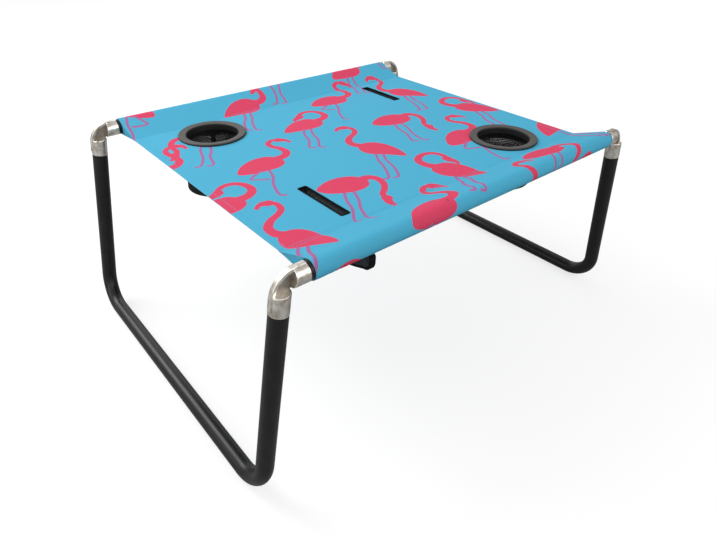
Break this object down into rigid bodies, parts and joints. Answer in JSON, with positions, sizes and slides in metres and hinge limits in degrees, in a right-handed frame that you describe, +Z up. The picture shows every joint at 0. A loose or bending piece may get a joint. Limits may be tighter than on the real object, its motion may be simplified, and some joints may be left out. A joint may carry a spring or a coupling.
{
  "type": "beach table",
  "caption": "Low knock-down beach table: a fabric sling on crossbars between splayed U legs, with mesh cup holders and slot pockets.",
  "frame": {"origin": "on the ground, midway between the legs and the crossbars", "axes": "+X along the crossbars to the right leg, +Y from the front crossbar to the rear one, +Z up"},
  "size_m": [0.7312, 0.5284, 0.3102],
  "materials": {
    "powder_black": "gloss powder coat on steel tube",
    "bright_casting": "bright plated die casting",
    "sling_fabric": "coated polyester, printed",
    "ring_plastic": "satin moulded plastic",
    "lock_plastic": "satin moulded plastic",
    "black_mesh": "open polyester mesh",
    "black_tape": "woven tape"
  },
  "bodies": {
    "tabletop": {"crossbar_front": "powder_black", "crossbar_rear": "powder_black", "sling_top": "sling_fabric", "cup_rim_left": "ring_plastic", "cup_rim_right": "ring_plastic", "cup_lock_ring_left": "lock_plastic", "cup_lock_ring_right": "lock_plastic", "cup_bag_wall_left": "black_mesh", "cup_bag_wall_right": "black_mesh", "cup_bag_base_left": "black_mesh", "cup_bag_base_right": "black_mesh", "cup_bag_band_left": "black_tape", "cup_bag_band_right": "black_tape", "cup_bag_tape_left": "black_tape", "cup_bag_tape_right": "black_tape", "slot_binding_front": "black_tape", "slot_binding_rear": "black_tape", "pocket_front": "black_mesh", "pocket_rear": "black_mesh"},
    "left_leg_frame": {"leg_left": "powder_black", "elbow_front_left": "bright_casting", "elbow_rear_left": "bright_casting"},
    "right_leg_frame": {"leg_right": "powder_black", "elbow_front_right": "bright_casting", "elbow_rear_right": "bright_casting"}
  },
  "joints": [
    {"name": "left_leg_pull_off", "type": "slide", "parent": "tabletop", "child": "left_leg_frame", "axis": [-1, 0, 0], "range_m": [0, 0.04]},
    {"name": "right_leg_pull_off", "type": "slide", "parent": "tabletop", "child": "right_leg_frame", "axis": [1, 0, 0], "range_m": [0, 0.04]}
  ]
}
